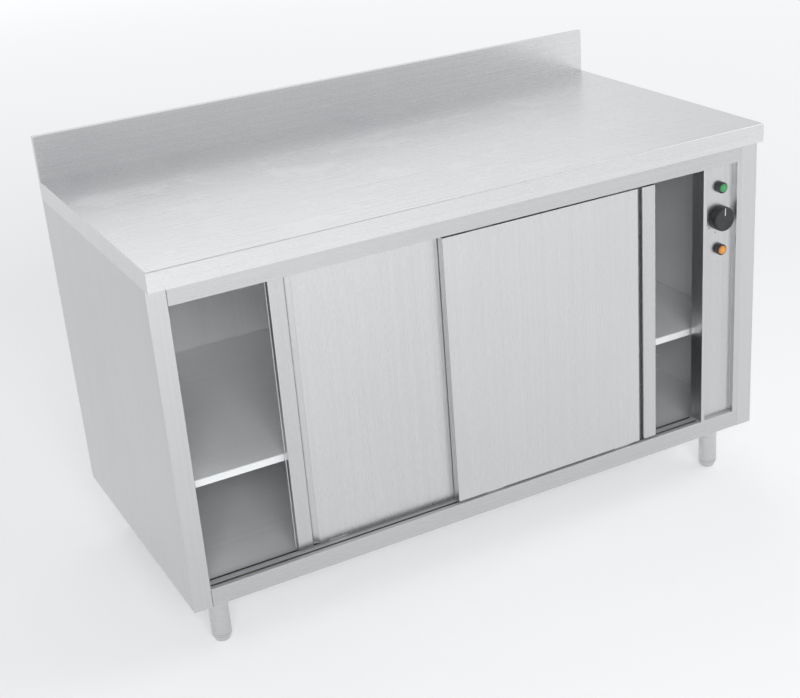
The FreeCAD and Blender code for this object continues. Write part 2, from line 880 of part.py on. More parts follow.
def switch_body(z, bore_depth):
    """A round bezel on the panel with its barrel behind, bored from the front."""
    front_face = column_face - bezel_length
    rear = column_face + switch_length
    profile = [(0, 0), (0, bezel_radius - bezel_chamfer), (bezel_chamfer, bezel_radius),
               (bezel_length, bezel_radius), (bezel_length, switch_radius),
               (rear - front_face, switch_radius), (rear - front_face, 0)]
    body = turned(profile, Vector(control_x, front_face, z), Vector(0, 1, 0))
    return body.cut(peg(control_x, front_face - overrun, front_face + bore_depth, z, cap_radius + clearance))


def cap(z):
    """A round cap with a softened rim, standing a little proud of its bezel."""
    start = column_face - bezel_length - cap_proud
    return turned([(0, 0), (0, cap_radius - bezel_chamfer), (bezel_chamfer, cap_radius),
                   (cap_length, cap_radius), (cap_length, 0)], Vector(control_x, start, z), Vector(0, 1, 0))


def lamp_lens():
    """The pilot lamp's lens, seated on the bottom of its bezel's bore."""
    return cap(lamp_height)


def terminal_block():
    """The terminals on the rear wall of the control box, with a screw well for each way."""
    y1 = control_box_back - liner_sheet
    half = terminal_width / 2
    block = box(control_x - half, control_x + half, y1 - terminal_depth, y1,
                terminal_height, terminal_height + terminal_length)
    step = terminal_width / terminal_ways
    for i in range(terminal_ways):
        x = control_x - half + step * (i + 1 / 2)
        block = block.cut(peg(x, y1 - terminal_depth - overrun, y1 - terminal_depth + terminal_well_depth,
                              terminal_height + terminal_length / 2, terminal_well))
    return block


# Legs, feet and what is under the base

def leg_bolt_places():
    """The places of the four bolts of every leg plate."""
    half = leg_bolt_spacing / 2
    return [(x + dx, y + dy) for x, y in leg_places for dx in (-half, half) for dy in (-half, half)]


def leg_tubes():
    """Four round legs, each welded to a plate at its top and to a threaded plug at its end."""
    plate_bottom = base_bottom - leg_plate_thickness
    half = leg_plate / 2
    shapes = []
    for x, y in leg_places:
        plate = box(x - half, x + half, y - half, y + half, plate_bottom, base_bottom)
        wall = rod(x, y, leg_end, plate_bottom, leg_radius)
        hollow = rod(x, y, leg_end + leg_plug, plate_bottom, leg_radius - leg_wall)
        leg = join([plate, wall]).cut(hollow)
        leg = leg.cut(rod(x, y, leg_end - overrun, leg_end + leg_plug + overrun, stem_radius + running_fit))
        for bx, by in leg_bolt_places():
            leg = leg.cut(rod(bx, by, plate_bottom - overrun, base_bottom + overrun, bolt_hole))
        shapes.append(leg)
    return shapes


def foot(place):
    """A levelling foot: a tapered pad that continues the leg, on a threaded stem."""
    x, y = place
    top = leg_end - clearance
    profile = [(0, 0), (0, foot_radius - foot_chamfer), (foot_chamfer, foot_radius), (foot_cone, leg_radius),
               (top, leg_radius), (top, stem_radius), (top + stem_length, stem_radius),
               (top + stem_length, 0)]
    return turned(profile, Vector(x, y, 0), Vector(0, 0, 1))


def leg_bolts():
    """The hexagon bolts that fasten the leg plates to the base."""
    seat = base_bottom - leg_plate_thickness
    return [join([hexagon(x, y, seat - bolt_head, seat, bolt_head_radius),
                  rod(x, y, seat - bolt_head / 2, base_top, bolt_radius)]) for x, y in leg_bolt_places()]


def cable_gland():
    """The gland in the base, bored for the supply cable: dome, hexagon, thread and lock nut."""
    low = base_bottom - gland_hex
    dome = turned([(0, 0), (0, gland_dome_radius), (gland_dome / 2, gland_shoulder_radius),
                   (gland_dome, gland_shoulder_radius), (gland_dome, 0)],
                  Vector(gland_x, gland_y, low - gland_dome), Vector(0, 0, 1))
    body = join([dome, hexagon(gland_x, gland_y, low, base_bottom, gland_hex_radius),
                 rod(gland_x, gland_y, base_bottom, base_top + gland_inside, gland_thread_radius),
                 hexagon(gland_x, gland_y, base_top, base_top + gland_nut, gland_hex_radius)])
    return body.cut(rod(gland_x, gland_y, low - gland_dome - overrun, base_top + gland_inside + overrun,
                        gland_bore))


def earth_stud():
    """The bonding stud under the base, with its two nuts."""
    x = gland_x - earth_offset
    radius = 2 * earth_stud_radius
    return join([rod(x, gland_y, base_bottom - earth_stud_length, base_top + earth_nut, earth_stud_radius),
                 hexagon(x, gland_y, base_bottom - earth_nut, base_bottom, radius),
                 hexagon(x, gland_y, base_top, base_top + earth_nut - clearance, radius)])


def cabinet():
    """Every piece by its node name, as one solid or a list of separate ones."""
    pieces = {
        "worktop": worktop(),
        "worktop_core": worktop_core(),
        "worktop_stiffeners": worktop_stiffeners(),
        "side_panel_left": side_panel(-1),
        "side_panel_right": side_panel(1),
        "side_liner_left": side_liner(-1),
        "side_liner_right": side_liner(1),
        "insulation_left": side_insulation(-1),
        "insulation_right": side_insulation(1),
        "back_panel": back_panel(),
        "back_liner": back_liner(),
        "insulation_back": back_insulation(),
        "base_panel": base_panel(),
        "insulation_base": base_insulation_slab(),
        "ceiling_liner": ceiling_liner(),
        "insulation_ceiling": ceiling_insulation(),
        "bottom_rail": bottom_rail(),
        "top_rail": top_rail(),
        "floor_pan": floor_pan(),
        "shelf": shelf(),
        "shelf_brackets": shelf_brackets(),
        "heating_element": heating_element(),
        "element_clips": element_clips(),
        "door_track": door_track(),
        "door_stops": door_stops(),
        "control_panel": control_panel(),
        "control_box": control_box(),
        "knob": knob(),
        "thermostat_shaft": thermostat_shaft(),
        "thermostat": thermostat(),
        "thermostat_probe": thermostat_probe(),
        "button_housing": switch_body(button_height, cap_length - cap_proud + button_travel + clearance),
        "power_button": cap(button_height),
        "pilot_lamp": switch_body(lamp_height, cap_length - cap_proud),
        "lamp_lens": lamp_lens(),
        "terminal_block": terminal_block(),
        "leg_tubes": leg_tubes(),
        "leg_bolts": leg_bolts(),
        "cable_gland": cable_gland(),
        "earth_stud": earth_stud(),
    }
    for name, door in (("front_door", front_door), ("rear_door", rear_door)):
        pieces[name + "_skin"] = door_skin(door)
        pieces[name + "_handle"] = door_handle(door)
        pieces[name + "_liner"] = door_liner(door)
        pieces[name + "_insulation"] = door_insulation(door)
        pieces[name + "_hangers"] = door_hangers(door)
        pieces[name + "_guides"] = door_guides(door)
        for hand, x in zip(("left", "right"), hanger_places(door)):
            pieces[name + "_roller_" + hand] = roller(door, x)
    for hand, place in zip(("front_left", "back_left", "front_right", "back_right"), leg_places):
        pieces["foot_" + hand] = foot(place)
    return pieces


os.makedirs("parts", exist_ok=True)
for node, piece in cabinet().items():
    if isinstance(piece, list):
        piece = Part.makeCompound(piece)
    piece.exportStep("parts/" + node + ".step")
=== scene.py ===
"""Plate warmer cabinet: a heated cupboard of satin stainless sheet with a worktop and upstand, two
sliding doors, a middle shelf and a control column. Metres, X to the right, Y to the back, Z up."""
import json
import math

import bpy
from mathutils import Matrix, Vector


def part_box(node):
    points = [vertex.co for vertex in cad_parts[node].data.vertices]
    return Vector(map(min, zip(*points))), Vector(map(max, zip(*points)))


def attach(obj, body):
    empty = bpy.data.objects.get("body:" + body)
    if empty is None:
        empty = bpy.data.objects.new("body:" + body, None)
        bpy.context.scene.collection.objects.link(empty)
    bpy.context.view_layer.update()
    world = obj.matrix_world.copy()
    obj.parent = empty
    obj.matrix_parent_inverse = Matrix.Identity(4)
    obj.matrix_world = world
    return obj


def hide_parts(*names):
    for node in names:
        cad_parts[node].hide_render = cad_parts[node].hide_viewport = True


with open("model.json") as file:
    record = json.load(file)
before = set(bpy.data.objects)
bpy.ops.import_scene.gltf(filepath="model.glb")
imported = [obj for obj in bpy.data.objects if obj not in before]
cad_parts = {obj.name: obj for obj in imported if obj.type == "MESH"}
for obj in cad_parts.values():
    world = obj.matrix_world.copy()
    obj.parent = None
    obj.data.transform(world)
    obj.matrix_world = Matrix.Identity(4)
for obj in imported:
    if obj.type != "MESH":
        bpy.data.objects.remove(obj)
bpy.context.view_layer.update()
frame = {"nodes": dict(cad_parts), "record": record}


# Legs and levelling feet
# Four round legs of satin stainless tube, 42 mm across, each welded to a plate that four zinc-plated
# bolts hold to the base. The foot below is turned from bar and screws into the leg's end plug, so its
# 12 mm thread shows when it is wound out.

def feed(node, inputs):
    """Gives a shader node's inputs plain values or other nodes' outputs."""
    for key, value in inputs.items():
        if isinstance(value, bpy.types.NodeSocket):
            node.id_data.links.new(value, node.inputs[key])
        else:
            node.inputs[key].default_value = value


def wire(tree, kind, inputs=None, **settings):
    """Adds a shader node, sets it up and feeds its inputs."""
    made = tree.nodes.new("ShaderNode" + kind)
    for name, value in settings.items():
        setattr(made, name, value)
    feed(made, inputs or {})
    return made


def sums(tree, operation, first, second=0.0, third=0.0):
    """One sum on numbers."""
    return wire(tree, "Math", {0: first, 1: second, 2: third}, operation=operation).outputs[0]


def place_sums(tree, operation, first, second=None, third=None, scale=None, gives="Vector"):
    """One sum on places or directions, with as many of its inputs as it takes."""
    inputs = {0: first, 1: second, 2: third, "Scale": scale}
    taken = {key: value for key, value in inputs.items() if value is not None}
    return wire(tree, "VectorMath", taken, operation=operation).outputs[gives]


def blend(tree, share, first, second):
    """Mixes two colours, plain ones or patterns, by a share."""
    first, second = [colour if isinstance(colour, bpy.types.NodeSocket) else tuple(colour) + (1,)
                     for colour in (first, second)]
    first_colour, second_colour, mixed_colour = 6, 7, 2
    mixed = wire(tree, "Mix", {0: share, first_colour: first, second_colour: second}, data_type="RGBA")
    return mixed.outputs[mixed_colour]


def spread(tree, value, low, high, to_low=0.0, to_high=1.0):
    """Stretches the part of a pattern between low and high over another range."""
    inputs = {"Value": value, "From Min": low, "From Max": high, "To Min": to_low, "To Max": to_high}
    return wire(tree, "MapRange", inputs).outputs["Result"]


def noise(tree, place, waves, detail=2.0, roughness=0.5, distortion=0.0):
    """Even noise over the piece, with this many waves to the metre."""
    inputs = {"Vector": place, "Scale": waves, "Detail": detail, "Roughness": roughness,
              "Distortion": distortion}
    return wire(tree, "TexNoise", inputs).outputs[0]


def swayed(tree, place, waves, detail, reach):
    """The place itself, carried to and fro by noise, so that what is drawn on it isn't straight."""
    sway = wire(tree, "TexNoise", {"Vector": place, "Scale": waves, "Detail": detail}).outputs["Color"]
    return place_sums(tree, "MULTIPLY_ADD", sway, (reach, reach, reach), place)


def raised(tree, height, distance, under=None):
    """The normal over a relief of this height in metres, laid on another relief if one is given."""
    inputs = {"Height": height, "Distance": distance}
    if under is not None:
        inputs["Normal"] = under
    return wire(tree, "Bump", inputs).outputs["Normal"]


def open_group(name, takes, gives):
    """An empty effect with named inputs and outputs, what it takes and the node that it feeds."""
    tree = bpy.data.node_groups.new(name, "ShaderNodeTree")
    for title, kind, value in takes:
        socket = tree.interface.new_socket(name=title, in_out="INPUT", socket_type="NodeSocket" + kind)
        socket.default_value = value
    for title in gives:
        tree.interface.new_socket(name=title, in_out="OUTPUT", socket_type="NodeSocketFloat")
    return tree, tree.nodes.new("NodeGroupInput").outputs, tree.nodes.new("NodeGroupOutput")


def finish_named(name):
    """A new finish with its tree, its surface shader and the piece's own coordinates."""
    finish = bpy.data.materials.new(name)
    finish.use_nodes = True
    tree = finish.node_tree
    return finish, tree, tree.nodes["Principled BSDF"], wire(tree, "TexCoord").outputs


def brushed_grain():
    """Sheet ground in one direction: fine lines and wide streaks along it, under soft clouds. Faces
    that look along X have a direction of their own."""
    tree, took, gave = open_group(
        "brushed_grain",
        takes=[("Place", "Vector", (0, 0, 0)), ("Facing", "Vector", (0, 0, 0)),
               ("Waves", "Vector", (3, 900, 900)), ("Waves At Ends", "Vector", (900, 900, 3))],
        gives=["Lines", "Streaks", "Clouds"])
    facing_x = wire(tree, "SeparateXYZ", {0: took["Facing"]}).outputs["X"]
    at_end = sums(tree, "GREATER_THAN", sums(tree, "ABSOLUTE", facing_x), 0.7)
    first_place, second_place, mixed_place = 4, 5, 1
    waves = wire(tree, "Mix", {0: at_end, first_place: took["Waves"], second_place: took["Waves At Ends"]},
                 data_type="VECTOR").outputs[mixed_place]
    drawn_out = place_sums(tree, "MULTIPLY", took["Place"], waves)
    feed(gave, {"Lines": noise(tree, drawn_out, waves=1.0, detail=3.0, roughness=0.6),
                "Streaks": noise(tree, drawn_out, waves=0.11),
                "Clouds": noise(tree, took["Place"], waves=2.3, detail=3.0, roughness=0.6)})
    return tree


def handling_marks():
    """What use leaves on a sheet: dull smudges, and short curved scratches in some patches only."""
    tree, took, gave = open_group("handling_marks", takes=[("Place", "Vector", (0, 0, 0))],
                                  gives=["Smudges", "Scratches"])
    smear = noise(tree, took["Place"], waves=11.0, detail=6.0, roughness=0.62, distortion=0.4)
    curved = swayed(tree, took["Place"], waves=3.5, detail=1.0, reach=0.16)
    scratch_directions = ((0.60, 0.52, 0.61), (-0.70, 0.47, 0.54), (0.48, -0.69, 0.54), (0.35, 0.30, -0.89))
    waves_along, waves_across = 22.0, 900.0
    scratches = 0.0
    for across in scratch_directions:
        from_middle = place_sums(tree, "DOT_PRODUCT", curved, across, gives="Value")
        squeezed = place_sums(tree, "SCALE", across, scale=sums(tree, "MULTIPLY", from_middle, waves_across))
        drawn_out = place_sums(tree, "SCALE", took["Place"], scale=waves_along)
        thin = place_sums(tree, "ADD", drawn_out, squeezed)
        scratch = spread(tree, noise(tree, thin, waves=1.0, detail=1.0), 0.74, 0.80)
        scratches = sums(tree, "MAXIMUM", scratches, scratch)
    worn_patch = spread(tree, noise(tree, took["Place"], waves=5.0), 0.48, 0.62)
    feed(gave, {"Smudges": spread(tree, smear, 0.52, 0.74),
                "Scratches": sums(tree, "MULTIPLY", scratches, worn_patch)})
    return tree


grain = brushed_grain()
handling = handling_marks()


def stainless(name, waves, at_ends=None, tone=0.63, roughness=0.30, wave_height=0.0006, wear=0.5,
              metallic=1.0, scuffed_top=False):
    """Satin stainless sheet: ground in one direction, faintly streaked and never quite flat."""
    finish, tree, shader, at = finish_named(name)
    ground = wire(tree, "Group", {"Place": at["Object"], "Facing": at["Normal"], "Waves": waves,
                                  "Waves At Ends": at_ends or waves}, node_tree=grain).outputs
    used = wire(tree, "Group", {"Place": at["Object"]}, node_tree=handling).outputs
    half_clouds = sums(tree, "MULTIPLY", ground["Clouds"], 0.5)
    mottle = sums(tree, "MULTIPLY_ADD", ground["Streaks"], 0.5, half_clouds)
    shaded = (tone * 0.965, tone * 0.975, tone * 0.985)
    lit = (tone * 1.02, tone * 1.025, tone * 1.03)
    groove = (tone * 0.6, tone * 0.61, tone * 0.62)
    bared = (0.86, 0.87, 0.88)
    steel = blend(tree, spread(tree, mottle, 0.36, 0.64), shaded, lit)
    steel = blend(tree, spread(tree, ground["Lines"], 0.30, 0.44, to_low=0.10, to_high=0.0), steel, groove)
    steel = blend(tree, sums(tree, "MULTIPLY", used["Scratches"], 0.30 * wear), steel, bared)
    dullness = spread(tree, ground["Lines"], 0.3, 0.7, to_low=roughness - 0.05, to_high=roughness + 0.05)
    dullness = sums(tree, "ADD", dullness, sums(tree, "MULTIPLY", used["Smudges"], 0.07 * wear))
    if scuffed_top:
        upwards = wire(tree, "SeparateXYZ", {0: at["Normal"]}).outputs["Z"]
        metallic = spread(tree, upwards, 0.5, 0.8, to_low=metallic, to_high=0.35)
        dullness = sums(tree, "ADD", dullness, spread(tree, upwards, 0.5, 0.8, to_low=0.0, to_high=0.16))
    buckle = raised(tree, noise(tree, at["Object"], waves=1.9, detail=1.0), wave_height)
    feed(shader, {"Base Color": steel, "Roughness": dullness, "Metallic": metallic,
                  "Normal": raised(tree, ground["Lines"], 0.00003, under=buckle)})
    return finish


def zinc_plating(name):
    """Bright zinc plating, passivated unevenly to a faint yellow."""
    finish, tree, shader, at = finish_named(name)
    passivated = noise(tree, at["Object"], waves=160.0, detail=3.0)
    feed(shader, {"Base Color": blend(tree, passivated, (0.50, 0.52, 0.53), (0.65, 0.65, 0.60)),
                  "Roughness": spread(tree, passivated, 0.3, 0.7, to_low=0.26, to_high=0.42),
                  "Metallic": 1.0,
                  "Normal": raised(tree, noise(tree, at["Object"], waves=900.0), 0.00003)})
    return finish


def dress(finish, *pieces):
    """Gives CAD pieces or new ones their finish."""
    for piece in pieces:
        mesh = (frame["nodes"][piece] if isinstance(piece, str) else piece).data
        mesh.materials.clear()
        mesh.materials.append(finish)


def picked(*pieces):
    """Selects these pieces and nothing else, and works on the first."""
    bpy.ops.object.select_all(action="DESELECT")
    for piece in pieces:
        piece.select_set(True)
    bpy.context.view_layer.objects.active = pieces[0]


def settled(piece, place=(0, 0, 0), turn=(0, 0, 0)):
    """Turns a new piece, puts it at its place and leaves that place in its mesh."""
    picked(piece)
    piece.rotation_euler = turn
    piece.location = place
    bpy.ops.object.transform_apply(location=True, rotation=True, scale=True)
    return piece


def softened(piece, width, segments=2):
    """Rounds a piece's edges over and shades its curves smooth."""
    crease = math.radians(30)
    picked(piece)
    if width:
        bpy.ops.object.modifier_add(type="BEVEL")
        edge = piece.modifiers[-1]
        edge.width = width
        edge.segments = segments
        edge.limit_method = "ANGLE"
        edge.angle_limit = crease
        bpy.ops.object.modifier_apply(modifier=edge.name)
    bpy.ops.object.shade_smooth_by_angle(angle=crease)
    return piece


def lathe(name, profile, sides=64, soft=0.0004, segments=2):
    """A closed piece turned about Z. Its profile runs upwards as pairs of height and radius."""
    bpy.ops.object.select_all(action="DESELECT")
    height, radius = profile[0]
    bpy.ops.mesh.primitive_circle_add(vertices=sides, radius=radius, fill_type="NGON")
    piece = bpy.context.object
    piece.name = piece.data.name = name
    bpy.ops.object.mode_set(mode="EDIT")
    bpy.ops.mesh.select_all(action="SELECT")
    bpy.ops.transform.translate(value=(0, 0, height))
    for to_height, to_radius in profile[1:]:
        share = to_radius / radius
        bpy.ops.mesh.extrude_region_move(TRANSFORM_OT_translate={"value": (0, 0, to_height - height)})
        bpy.ops.transform.resize(value=(share, share, 1), center_override=(0, 0, to_height))
        height, radius = to_height, to_radius
    bpy.ops.mesh.select_all(action="SELECT")
    bpy.ops.mesh.normals_make_consistent(inside=False)
    bpy.ops.object.mode_set(mode="OBJECT")
    return softened(piece, soft, segments)


def copied(piece, name, move):
    """A copy with its own mesh, moved to its place by a shift or a matrix."""
    other = piece.copy()
    other.data = piece.data.copy()
    other.name = other.data.name = name
    bpy.context.scene.collection.objects.link(other)
    other.data.transform(move if isinstance(move, Matrix) else Matrix.Translation(move))
    return other


def joined(pieces, name):
    """Several loose shells as one piece."""
    picked(*pieces)
    bpy.ops.object.join()
    pieces[0].name = pieces[0].data.name = name
    return pieces[0]


def wound_thread(radius, pitch, bottom, top, steps_per_turn=24):
    """A screw thread about Z: one sharp V wound upwards on its root, and closed at both ends."""
    ridge = pitch * math.sqrt(3) / 2
    root = radius - ridge
    weld = 0.00001
    bpy.ops.object.select_all(action="DESELECT")
    bpy.ops.mesh.primitive_circle_add(vertices=3, radius=ridge * 2 / 3, fill_type="NOTHING")
    thread = settled(bpy.context.object, (root + ridge / 3, 0, bottom), (math.pi / 2, math.pi / 2, 0))
    points = thread.data.vertices
    for point in points:
        point.select = point.co.x < root + ridge / 2
    for edge in thread.data.edges:
        edge.select = all(points[i].select for i in edge.vertices)
    bpy.ops.object.mode_set(mode="EDIT")
    bpy.ops.mesh.select_mode(type="EDGE")
    bpy.ops.mesh.delete(type="EDGE")
    bpy.ops.object.mode_set(mode="OBJECT")
    bpy.ops.object.modifier_add(type="SCREW")
    winding = thread.modifiers[-1]
    winding.axis = "Z"
    winding.angle = 2 * math.pi
    winding.screw_offset = pitch
    winding.steps = winding.render_steps = steps_per_turn
    winding.iterations = int((top - bottom) / pitch)
    winding.use_merge_vertices = True
    winding.merge_threshold = weld
    bpy.ops.object.modifier_apply(modifier=winding.name)
    bpy.ops.object.mode_set(mode="EDIT")
    bpy.ops.mesh.select_all(action="SELECT")
    bpy.ops.mesh.remove_doubles(threshold=weld)
    bpy.ops.mesh.fill_holes(sides=0)
    bpy.ops.mesh.select_all(action="SELECT")
    bpy.ops.mesh.normals_make_consistent(inside=False)
    bpy.ops.object.mode_set(mode="OBJECT")
    return softened(thread, 0)


def weld_bead(radius, thickness, ripple_length, ripple_height):
    """A ring of weld about Z, rippled along its run."""
    bpy.ops.object.select_all(action="DESELECT")
    bpy.ops.mesh.primitive_torus_add(major_radius=radius, minor_radius=thickness,
                                     major_segments=120, minor_segments=10)
    bead = bpy.context.object
    ripple = bpy.data.textures.new("weld_ripple", "CLOUDS")
    ripple.noise_scale = ripple_length
    bpy.ops.object.modifier_add(type="DISPLACE")
    rippled = bead.modifiers[-1]
    rippled.texture = ripple
    rippled.texture_coords = "LOCAL"
    rippled.strength = ripple_height
    bpy.ops.object.modifier_apply(modifier=rippled.name)
    bpy.ops.object.shade_smooth()
    return bead


leg_steel = stainless("leg_tube_steel", (5, 5, 700), tone=0.62, roughness=0.27, wave_height=0.0)
foot_steel = stainless("turned_foot_steel", (4, 4, 1300), tone=0.60, roughness=0.24, wave_height=0.0)
weld_steel = stainless("weld_bead_steel", (120, 120, 120), tone=0.5, roughness=0.38, wave_height=0.0)
bolt_zinc = zinc_plating("bolt_zinc")

mount_places = {mount["name"]: Vector(mount["pos_m"]) for mount in frame["record"]["mounts"]}
leg_radius, leg_plate = 0.0210, 0.0030
bead_thickness, bead_offset, bead_drop = 0.0021, 0.0005, 0.0010
leg_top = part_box("leg_tubes")[1].z
stem_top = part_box("foot_front_left")[1].z
stem_radius, thread_pitch = 0.0060, 0.00175
neck_radius, neck_top = 0.0050, 0.0212
pad_top = 0.0187
pad_profile = [(0.0, 0.0135), (0.0015, 0.0160), (0.0136, 0.0205), (0.0141, 0.0200), (0.0149, 0.0200),
               (0.0154, leg_radius), (pad_top, leg_radius), (pad_top, neck_radius), (neck_top, neck_radius)]
thread = wound_thread(stem_radius, thread_pitch, pad_top, stem_top)
pad = lathe("foot_pad", pad_profile, soft=0.0003)
foot = joined([pad, thread], "levelling_foot")
bead = weld_bead(leg_radius + bead_offset, bead_thickness, ripple_length=0.0035, ripple_height=0.0012)
dress(foot_steel, foot)
dress(weld_steel, bead)
for hand in ("front_left", "back_left", "front_right", "back_right"):
    place = mount_places["foot_face_" + hand]
    own_foot = copied(foot, "levelling_foot_" + hand, place)
    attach(own_foot, "foot_" + hand)
    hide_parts("foot_" + hand)
    own_bead = copied(bead, "leg_weld_" + hand, place + Vector((0, 0, leg_top - leg_plate - bead_drop)))
    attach(own_bead, "cabinet")
bpy.data.objects.remove(foot)
bpy.data.objects.remove(bead)
dress(leg_steel, "leg_tubes")
dress(bolt_zinc, "leg_bolts")


# Base, cable gland and bonding stud
# The base is one galvanised sheet between the posts, with the zinc's crystals showing. A black nylon
# gland holds the supply cable, and a brass stud with two nuts takes the bonding conductor.

def zinc_spangle():
    """The crystals of hot-dip zinc, each with its own tone, and the bloom that dulls them in places."""
    tree, took, gave = open_group(
        "zinc_spangle", takes=[("Place", "Vector", (0, 0, 0)), ("Crystals Per Metre", "Float", 95.0)],
        gives=["Crystals", "Bloom"])
    ragged = swayed(tree, took["Place"], waves=60.0, detail=2.0, reach=0.012)
    cells = wire(tree, "TexVoronoi", {"Vector": ragged, "Scale": took["Crystals Per Metre"]}).outputs["Color"]
    feed(gave, {"Crystals": wire(tree, "SeparateColor", {0: cells}).outputs[0],
                "Bloom": noise(tree, took["Place"], waves=5.0, detail=4.0, roughness=0.6)})
    return tree


spangle = zinc_spangle()


def galvanised(name, tone, crystals):
    """Hot-dip galvanised sheet: each crystal of zinc has its own tone and gloss under a thin bloom."""
    finish, tree, shader, at = finish_named(name)
    zinc = wire(tree, "Group", {"Place": at["Object"], "Crystals Per Metre": crystals},
                node_tree=spangle).outputs
    dark = (tone * 0.80, tone * 0.83, tone * 0.86)
    bright = (tone, tone * 1.02, tone * 1.04)
    bloomed = (0.60, 0.61, 0.60)
    colour = blend(tree, zinc["Crystals"], dark, bright)
    colour = blend(tree, spread(tree, zinc["Bloom"], 0.45, 0.7, to_low=0.0, to_high=0.4), colour, bloomed)
    dullness = spread(tree, zinc["Crystals"], 0.0, 1.0, to_low=0.30, to_high=0.46)
    under_bloom = spread(tree, zinc["Bloom"], 0.45, 0.7, to_low=0.0, to_high=0.12)
    feed(shader, {"Base Color": colour, "Roughness": sums(tree, "ADD", dullness, under_bloom),
                  "Metallic": 1.0, "Normal": raised(tree, zinc["Crystals"], 0.00004)})
    return finish


def moulded(name, colour, roughness, spark_waves=1400.0, spark_depth=0.00003, unevenness=0.08, sheen=0.0):
    """Moulded plastic or rubber: one colour through, slightly uneven, with a fine sparked surface."""
    finish, tree, shader, at = finish_named(name)
    cloud = noise(tree, at["Object"], waves=45.0, detail=3.0)
    spark = noise(tree, at["Object"], spark_waves)
    dark = tuple(c * (1 - unevenness) for c in colour)
    light = tuple(min(1.0, c * (1 + unevenness) + 0.01) for c in colour)
    dullness = spread(tree, spark, 0.3, 0.7, to_low=roughness - 0.04, to_high=roughness + 0.06)
    feed(shader, {"Base Color": blend(tree, spread(tree, cloud, 0.3, 0.7), dark, light),
                  "Roughness": dullness, "Normal": raised(tree, spark, spark_depth), "Sheen Weight": sheen})
    return finish


def bare_metal(name, dark, light, roughness):
    """Bare turned, cast or drawn metal with a light, uneven tarnish."""
    finish, tree, shader, at = finish_named(name)
    tarnish = noise(tree, at["Object"], waves=220.0, detail=4.0, roughness=0.6)
    dullness = spread(tree, tarnish, 0.3, 0.7, to_low=roughness + 0.12, to_high=roughness)
    feed(shader, {"Base Color": blend(tree, spread(tree, tarnish, 0.35, 0.68), dark, light),
                  "Roughness": dullness, "Metallic": 1.0,
                  "Normal": raised(tree, noise(tree, at["Object"], waves=1320.0), 0.00004)})
    return finish


def wool_batt(name):
    """Pressed mineral wool: long matted fibres, yellow to brown and quite dull."""
    finish, tree, shader, at = finish_named(name)
    along_fibres = wire(tree, "Mapping", {"Vector": at["Object"], "Rotation": (0.5, 0.2, 0.9),
                                          "Scale": (0.02, 0.003, 0.006)}, vector_type="TEXTURE").outputs[0]
    fibres = noise(tree, along_fibres, waves=1.0, detail=5.0, roughness=0.7, distortion=1.5)
    colour = blend(tree, spread(tree, fibres, 0.3, 0.7), (0.42, 0.36, 0.17), (0.74, 0.68, 0.44))
    feed(shader, {"Base Color": colour, "Roughness": 0.95, "Normal": raised(tree, fibres, 0.002)})
    return finish


galvanised_sheet = galvanised("galvanised_sheet", tone=0.66, crystals=95.0)
gland_nylon = moulded("gland_nylon", (0.035, 0.036, 0.040), roughness=0.42)
bright_brass = bare_metal("turned_brass", dark=(0.52, 0.36, 0.14), light=(0.80, 0.60, 0.27), roughness=0.24)
mineral_wool = wool_batt("mineral_wool_batt")
dress(galvanised_sheet, "base_panel")
dress(mineral_wool, "insulation_base")
dress(gland_nylon, "cable_gland")
dress(bright_brass, "earth_stud")


# Body shell
# Each outer side is one stainless sheet, folded round the front into a hollow post and round the back
# into a flange, with its grain upright. The top and bottom rails are folded channels with their grain
# along the front. Plain liners close the walls inside, with mineral wool between them.

upright, lengthways = (900, 900, 3), (3, 900, 900)
side_steel = stainless("side_steel", upright, tone=0.62, roughness=0.31, wear=0.4)
rail_steel = stainless("rail_steel", lengthways, upright, tone=0.58, roughness=0.29)
sill_steel = stainless("sill_steel", lengthways, upright, tone=0.58, roughness=0.29, scuffed_top=True)
# Painted light: the liners and ceiling are near-white, barely metallic stainless, much paler than the outer
# sheets, so that the shaded inside reads light.
liner_painted_light = stainless("liner_sheet_painted_light", (700, 700, 4), tone=0.93, roughness=0.40, wear=0.5,
                        metallic=0.15)
ceiling_painted_light = stainless("ceiling_painted_light", (4, 700, 700), tone=0.93, roughness=0.40, wear=0.3,
                          metallic=0.15)
dress(side_steel, "side_panel_left", "side_panel_right")
dress(rail_steel, "top_rail")
dress(sill_steel, "bottom_rail")
dress(liner_painted_light, "side_liner_left", "side_liner_right", "back_liner")
dress(ceiling_painted_light, "ceiling_liner")
dress(mineral_wool, "insulation_left", "insulation_right", "insulation_back", "insulation_ceiling")
dress(galvanised_sheet, "back_panel")

rivet_profile = [(0.0, 0.0040), (0.0005, 0.0040), (0.0010, 0.0033), (0.0013, 0.0022), (0.0013, 0.0013),
                 (0.0007, 0.0012)]
rivet_rows, rivet_margin, rivet_inset = 7, 0.0350, 0.0075
side_low, side_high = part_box("side_panel_left")[0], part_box("side_panel_right")[1]
back_low, back_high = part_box("back_panel")
rivet_pitch = (back_high.z - back_low.z - 2 * rivet_margin) / (rivet_rows - 1)
rivet = lathe("blind_rivet", rivet_profile, sides=28, soft=0.00012)
settled(rivet, (0, side_high.y, back_low.z + rivet_margin), (-math.pi / 2, 0, 0))
heads = [copied(rivet, "rivet_head", (x, 0, rivet_pitch * row))
         for x in (side_low.x + rivet_inset, side_high.x - rivet_inset) for row in range(rivet_rows)]
back_rivets = joined(heads, "back_rivets")
bpy.data.objects.remove(rivet)
dress(bare_metal("rivet_aluminium", dark=(0.55, 0.55, 0.56), light=(0.74, 0.74, 0.75), roughness=0.34),
      back_rivets)
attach(back_rivets, "cabinet")


# Heated floor and element
# The floor pan is a stainless tray, turned up at the sides. Under it a tubular element runs to and fro
# in its dark, heat-blued sheath, held by thin galvanised straps.

